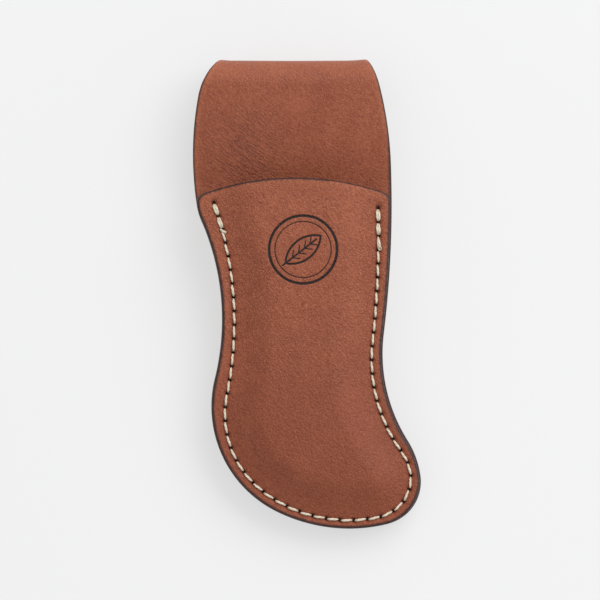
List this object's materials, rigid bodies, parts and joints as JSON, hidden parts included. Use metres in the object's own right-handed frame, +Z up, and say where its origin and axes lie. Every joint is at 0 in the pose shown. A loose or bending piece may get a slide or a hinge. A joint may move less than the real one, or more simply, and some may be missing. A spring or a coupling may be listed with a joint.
{
  "type": "belt sheath for a curved carving tool",
  "caption": "Stitched leather pouch sheath with a curved toe, an arched open mouth and a fold-over belt loop behind it.",
  "frame": {"origin": "centre of the bounding box's footprint, on the surface that the sheath lies on", "axes": "+Z up out of the sheath's front, +Y from the toe to the fold of the belt loop, +X to the right seen from the front; the sheath lies on its back, on its belt loop and toe, so the pouch is tilted by about 4 degrees"},
  "size_m": [0.0784, 0.1614, 0.0221],
  "materials": {
    "leather_grain": "smooth vegetable-tanned grain, chestnut brown, satin",
    "leather_core": "cut leather strip with burnished dark edge",
    "thread": "waxed cream harness thread, twisted three-ply"
  },
  "bodies": {
    "root": {"back_panel": "leather_grain", "front_panel": "leather_grain", "welt": "leather_core", "seam_needle_thread": "thread", "seam_bobbin_thread": "thread", "loop_needle_thread": "thread", "loop_bobbin_thread": "thread"}
  },
  "joints": []
}
